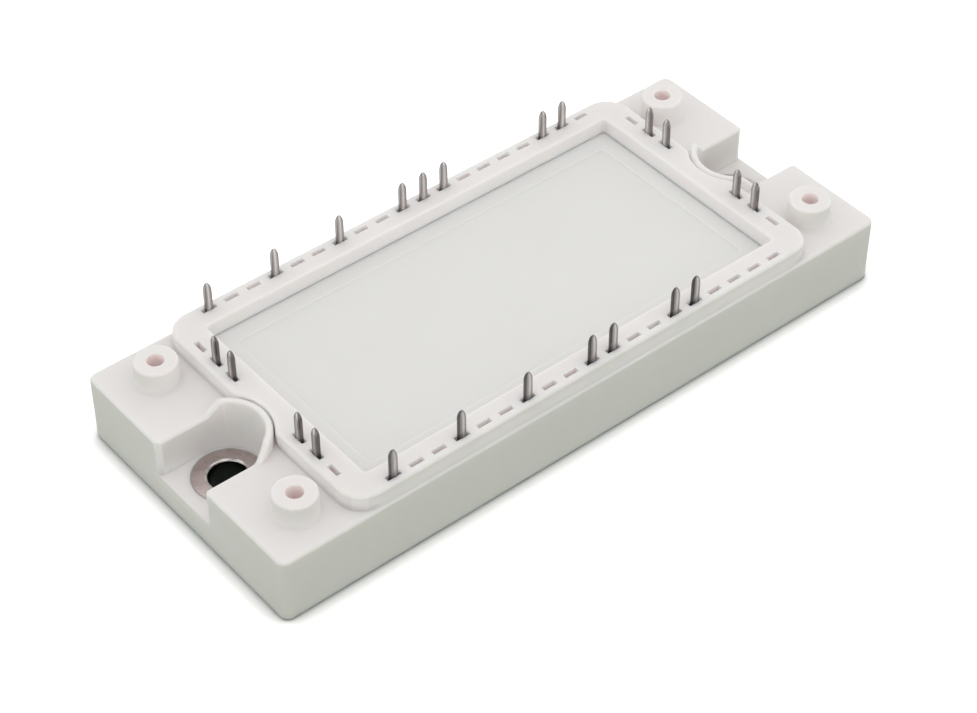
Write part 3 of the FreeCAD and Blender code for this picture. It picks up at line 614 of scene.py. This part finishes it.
bush_steel = grained_finish("turned_steel", BUSH_LIGHT, BUSH_DARK, roughness=(0.24, 0.34), metallic=1.0,
                            fine_scale=4000.0, broad_scale=500.0, depth=0.000003)
# The bush's bore carries painted shade.
paint_bore_shade(bush_steel)
lead_in_glint_steel = grained_finish("lead_in_painted_glints", LEAD_IN_GLINT, LEAD_IN_DARK, roughness=(0.10, 0.22),
                               metallic=1.0, fine_scale=4000.0, broad_scale=900.0, depth=0.000003)
for number, side in (("1", -1), ("2", 1)):
    ring = turned_ring("bush_ring_" + number, side * HOLE_X)
    dress(ring, bush_steel, lead_in_glint_steel)
    for face in ring.data.polygons:
        radius = math.hypot(face.center.x - side * HOLE_X, face.center.y)
        above_foot = face.center.z > bush_low.z + BUSH_LEAD_IN
        in_lead_in = BORE_R + NEAR < radius < BORE_R + BUSH_LEAD_IN and above_foot
        face.material_index = 1 if in_lead_in else 0
    hand_over(ring, "bush_steel", "screw_bush_" + number)


# Terminal pins: blades stamped from tinned copper strip, with bullet tips for the board's
# holes. Inside the housing each is bent into a foot that lies on the bonding shelf.
PIN_WIDTH = 0.00115
PIN_TIP = 0.0015
PIN_TIP_STEPS = 7
PIN_TIP_FLAT = 0.35
PIN_EDGE = 0.00012
PIN_BEND_R = 0.00025
PIN_BEND_STEPS = 5
# Tone of each row of pins is a painted reflection: darker in the near row, lighter in the far row, between
# at the ends.
NEAR_TIN = 0.30
FAR_TIN = 0.60
END_TIN = 0.42
TIN_WARMTH = (1.0, 0.935, 0.925)
TIN_LIGHTER = 1.15
TIN_DARKER = 0.72
TIN_GRAIN_STRETCH = (1.0, 1.0, 0.12)
# Painted highlight and shade at places across a blade, from 0 at one edge to 1 at the other:
# dark at the edges and brightest just past the middle.
TIN_PAINTED_HIGHLIGHT = ((0.0, 0.42), (0.16, 0.60), (0.40, 0.95), (0.58, 1.35), (0.70, 1.0), (0.90, 0.62), (1.0, 0.45))


def bent_blade(name, foot):
    """Blade at the origin: a length of strip for the foot, spun up round the bend, drawn up and tipped."""
    let_go()
    back = PIN_THICKNESS / 2 + PIN_BEND_R
    shelf_z = pin_low.z
    middle = (0.0, (back + foot) / 2, shelf_z + PIN_THICKNESS / 2)
    bpy.ops.mesh.primitive_cube_add(size=1.0, location=middle)
    blade = bpy.context.object
    blade.name = name
    blade.scale = (PIN_WIDTH, foot - back, PIN_THICKNESS)
    bpy.ops.object.transform_apply(location=True, rotation=True, scale=True)
    pick_up(blade)
    pick(blade, "edges", lambda p: abs(p.y - middle[1]) < NEAR)
    bpy.ops.mesh.bevel(offset=PIN_EDGE, segments=2, affect="EDGES")
    bpy.ops.object.mode_set(mode="OBJECT")
    across = blade.data.attributes.new("across", "FLOAT", "POINT")
    for vertex in blade.data.vertices:
        across.data[vertex.index].value = 0.5 + vertex.co.x / PIN_WIDTH
    bpy.ops.object.mode_set(mode="EDIT")
    pick(blade, "polygons", lambda p: abs(p.y - back) < NEAR)
    bend_z = shelf_z + PIN_THICKNESS + PIN_BEND_R
    bpy.ops.mesh.spin(steps=PIN_BEND_STEPS, angle=math.pi / 2, center=(0.0, back, bend_z),
                      axis=(1.0, 0.0, 0.0))
    shoulder = pin_high.z - PIN_TIP
    bpy.ops.mesh.extrude_region_move(TRANSFORM_OT_translate={"value": (0.0, 0.0, shoulder - bend_z)})
    one_step = math.pi / 2 / (PIN_TIP_STEPS + PIN_TIP_FLAT)
    for step in range(1, PIN_TIP_STEPS + 1):
        turn = step * one_step
        rise = PIN_TIP * (math.sin(turn) - math.sin(turn - one_step))
        shrink = math.cos(turn) / math.cos(turn - one_step)
        bpy.ops.mesh.extrude_region_move(TRANSFORM_OT_translate={"value": (0.0, 0.0, rise)})
        bpy.ops.transform.resize(value=(shrink, shrink, 1.0), center_override=(0.0, 0.0, 0.0))
    bpy.ops.object.mode_set(mode="OBJECT")
    bpy.ops.object.shade_smooth_by_angle(angle=EDGE_ANGLE)
    return blade


def place_blade(model, name, x, y, turn):
    """Copy of a blade with its own mesh, turned about Z and set in its slot."""
    blade = bpy.data.objects.new(name, model.data.copy())
    bpy.context.scene.collection.objects.link(blade)
    blade.data.transform(Matrix.Translation((x, y, 0.0)) @ Matrix.Rotation(turn, 4, "Z"))
    return blade


def tinned_copper(name, tone):
    """Tin of that tone, with painted shade along the edges of the blade and a painted highlight along a
    band past its middle.
    """
    light = [TIN_LIGHTER * tone * part for part in TIN_WARMTH] + [1.0]
    dark = [TIN_DARKER * tone * part for part in TIN_WARMTH] + [1.0]
    material = grained_finish(name, light, dark, roughness=(0.20, 0.34), metallic=1.0, fine_scale=3000.0,
                              broad_scale=900.0, depth=0.000004, stretch=TIN_GRAIN_STRETCH)
    tree = material.node_tree
    shader = tree.nodes["Principled BSDF"]
    mottle = shader.inputs["Base Color"].links[0].from_socket
    # Painted highlight and edge shade, laid across the blade.
    across = tree.nodes.new("ShaderNodeAttribute")
    across.attribute_name = "across"
    highlight_curve = tree.nodes.new("ShaderNodeFloatCurve")
    points = highlight_curve.mapping.curves[0].points
    highlight_curve.mapping.use_clip = False
    for place, level in TIN_PAINTED_HIGHLIGHT[1:-1]:
        points.new(place, level)
    points[0].location = TIN_PAINTED_HIGHLIGHT[0]
    points[-1].location = TIN_PAINTED_HIGHLIGHT[-1]
    highlight_curve.mapping.update()
    highlighted = tree.nodes.new("ShaderNodeVectorMath")
    highlighted.operation = "SCALE"
    tree.links.new(across.outputs["Fac"], highlight_curve.inputs["Value"])
    tree.links.new(mottle, highlighted.inputs["Vector"])
    tree.links.new(highlight_curve.outputs["Value"], highlighted.inputs["Scale"])
    tree.links.new(highlighted.outputs["Vector"], shader.inputs["Base Color"])
    return material


# Each row gets its own painted reflection tone.
near_tin = tinned_copper("near_row_painted_dark_tin", NEAR_TIN)
far_tin = tinned_copper("far_row_painted_light_tin", FAR_TIN)
end_tin = tinned_copper("end_row_painted_mid_tin", END_TIN)
models = {}
for node in sorted(name for name in nodes if name.startswith("terminal_pin_")):
    low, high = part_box(node)
    along_x = high.x - low.x > high.y - low.y
    foot = max(high.x - low.x, high.y - low.y) - PIN_THICKNESS / 2
    if along_x not in models:
        models[along_x] = bent_blade("blade_model", foot)
    if along_x:
        outer = low.x if high.x < 0 else high.x
        side = 1 if outer > 0 else -1
        place = (outer - side * PIN_THICKNESS / 2, (low.y + high.y) / 2, side * math.pi / 2)
        tin = far_tin if side > 0 else end_tin
    else:
        outer = low.y if high.y < 0 else high.y
        side = 1 if outer > 0 else -1
        place = ((low.x + high.x) / 2, outer - side * PIN_THICKNESS / 2, math.pi if side > 0 else 0.0)
        tin = far_tin if side > 0 else near_tin
    blade = place_blade(models[along_x], node.replace("terminal_pin", "pin_blade"), *place)
    dress(blade, tin)
    hand_over(blade, "tinned_pin", node)
for model in models.values():
    bpy.data.objects.remove(model)


# Studio: a sheet of paper under the module, a soft lamp above it and to the right, and a pale
# surround that is brighter towards its rim. The camera sees sheet and surround as white, with
# the module's narrow shadow, and the module gets the light of a darker bench from below.
SHEET_SIZE = 3.0
SHEET_DROP = 0.00005
SHEET_SEEN = 1.6
SHEET_CONTACT = 0.8
CONTACT_WIDTH = 0.003
CONTACT_LOW = 0.5
SHEET_BOUNCE = (0.06, 0.11, 0.02, 1.0)
SURROUND_TOP = (1.0, 0.985, 0.995, 1.0)
SURROUND_RIM = (0.965, 1.0, 0.945, 1.0)
TOP_STRENGTH = 0.88
RIM_STRENGTH = 1.12
LAMP_SIZE = 0.3
LAMP_DISTANCE = 0.9
LAMP_DIRECTION = (0.55, -0.40, 1.0)
LAMP_POWER = 0.2
LAMP_COLOUR = (1.0, 0.98, 0.97)


def seen_directly(tree):
    """1 for what is seen, also in a metal's reflection or through glass, 0 for the light that it gives."""
    rays = tree.nodes.new("ShaderNodeLightPath")
    value = rays.outputs["Is Camera Ray"]
    for kind in ("Is Glossy Ray", "Is Transmission Ray"):
        either = tree.nodes.new("ShaderNodeMath")
        either.operation = "MAXIMUM"
        tree.links.new(value, either.inputs[0])
        tree.links.new(rays.outputs[kind], either.inputs[1])
        value = either.outputs["Value"]
    return value


let_go()
bpy.ops.mesh.primitive_plane_add(size=SHEET_SIZE, location=(0.0, 0.0, -SHEET_DROP))
sheet = bpy.context.object
sheet.name = "white_sheet"

paper, tree, shader, _ = new_material("white_paper")
tree.nodes.remove(shader)
contact = tree.nodes.new("ShaderNodeAmbientOcclusion")
contact.inputs["Distance"].default_value = CONTACT_WIDTH
brightness = tree.nodes.new("ShaderNodeMapRange")
brightness.inputs["From Min"].default_value = CONTACT_LOW
brightness.inputs["To Min"].default_value = SHEET_CONTACT
brightness.inputs["To Max"].default_value = SHEET_SEEN
seen = tree.nodes.new("ShaderNodeBsdfDiffuse")
tree.links.new(contact.outputs["AO"], brightness.inputs["Value"])
tree.links.new(brightness.outputs["Result"], seen.inputs["Color"])
bounce = tree.nodes.new("ShaderNodeBsdfDiffuse")
bounce.inputs["Color"].default_value = SHEET_BOUNCE
choice = tree.nodes.new("ShaderNodeMixShader")
tree.links.new(seen_directly(tree), choice.inputs["Fac"])
tree.links.new(bounce.outputs["BSDF"], choice.inputs[1])
tree.links.new(seen.outputs["BSDF"], choice.inputs[2])
tree.links.new(choice.outputs["Shader"], tree.nodes["Material Output"].inputs["Surface"])
sheet.data.materials.append(paper)

world = bpy.data.worlds.new("pale_surround")
bpy.context.scene.world = world
world.use_nodes = True
tree = world.node_tree
surround = tree.nodes["Background"]
direction = tree.nodes.new("ShaderNodeTexCoord")
height = tree.nodes.new("ShaderNodeSeparateXYZ")
sky = tree.nodes.new("ShaderNodeMapRange")
sky.inputs["To Min"].default_value = RIM_STRENGTH
sky.inputs["To Max"].default_value = TOP_STRENGTH
tree.links.new(direction.outputs["Generated"], height.inputs["Vector"])
tree.links.new(height.outputs["Z"], sky.inputs["Value"])
tree.links.new(sky.outputs["Result"], surround.inputs["Strength"])
tint = blend_colours(tree, height.outputs["Z"], SURROUND_RIM, SURROUND_TOP, low=0.0, high=1.0)
tree.links.new(tint, surround.inputs["Color"])
white = tree.nodes.new("ShaderNodeBackground")
white.inputs["Color"].default_value = (1.0, 1.0, 1.0, 1.0)
choice = tree.nodes.new("ShaderNodeMixShader")
tree.links.new(seen_directly(tree), choice.inputs["Fac"])
tree.links.new(surround.outputs["Background"], choice.inputs[1])
tree.links.new(white.outputs["Background"], choice.inputs[2])
tree.links.new(choice.outputs["Shader"], tree.nodes["World Output"].inputs["Surface"])

lamp_data = bpy.data.lights.new("soft_lamp", "AREA")
lamp_data.shape = "SQUARE"
lamp_data.size = LAMP_SIZE
lamp_data.energy = LAMP_POWER
lamp_data.color = LAMP_COLOUR
lamp = bpy.data.objects.new("soft_lamp", lamp_data)
lamp.location = Vector(LAMP_DIRECTION).normalized() * LAMP_DISTANCE
lamp.rotation_mode = "QUATERNION"
lamp.rotation_quaternion = Vector(LAMP_DIRECTION).to_track_quat("Z", "Y")
bpy.context.scene.collection.objects.link(lamp)


# Camera: a long lens from above the near left corner, at the photograph's angle.
AZIMUTH = math.radians(-39.424)
ELEVATION = math.radians(43.213)
AIM = Vector((-0.005161, -0.005017, 0.00583))
CAMERA_DISTANCE = 0.35706
LENS = 93.24

camera_data = bpy.data.cameras.new("camera")
camera_data.lens = LENS
camera_data.clip_start = 0.01
camera_data.clip_end = 20.0
camera = bpy.data.objects.new("camera", camera_data)
backward = Vector((math.sin(AZIMUTH) * math.cos(ELEVATION), -math.cos(AZIMUTH) * math.cos(ELEVATION),
                   math.sin(ELEVATION)))
camera.location = AIM + backward * CAMERA_DISTANCE
camera.rotation_mode = "QUATERNION"
camera.rotation_quaternion = backward.to_track_quat("Z", "Y")
bpy.context.scene.collection.objects.link(camera)
bpy.context.scene.camera = camera
bpy.context.scene.view_settings.view_transform = "Standard"
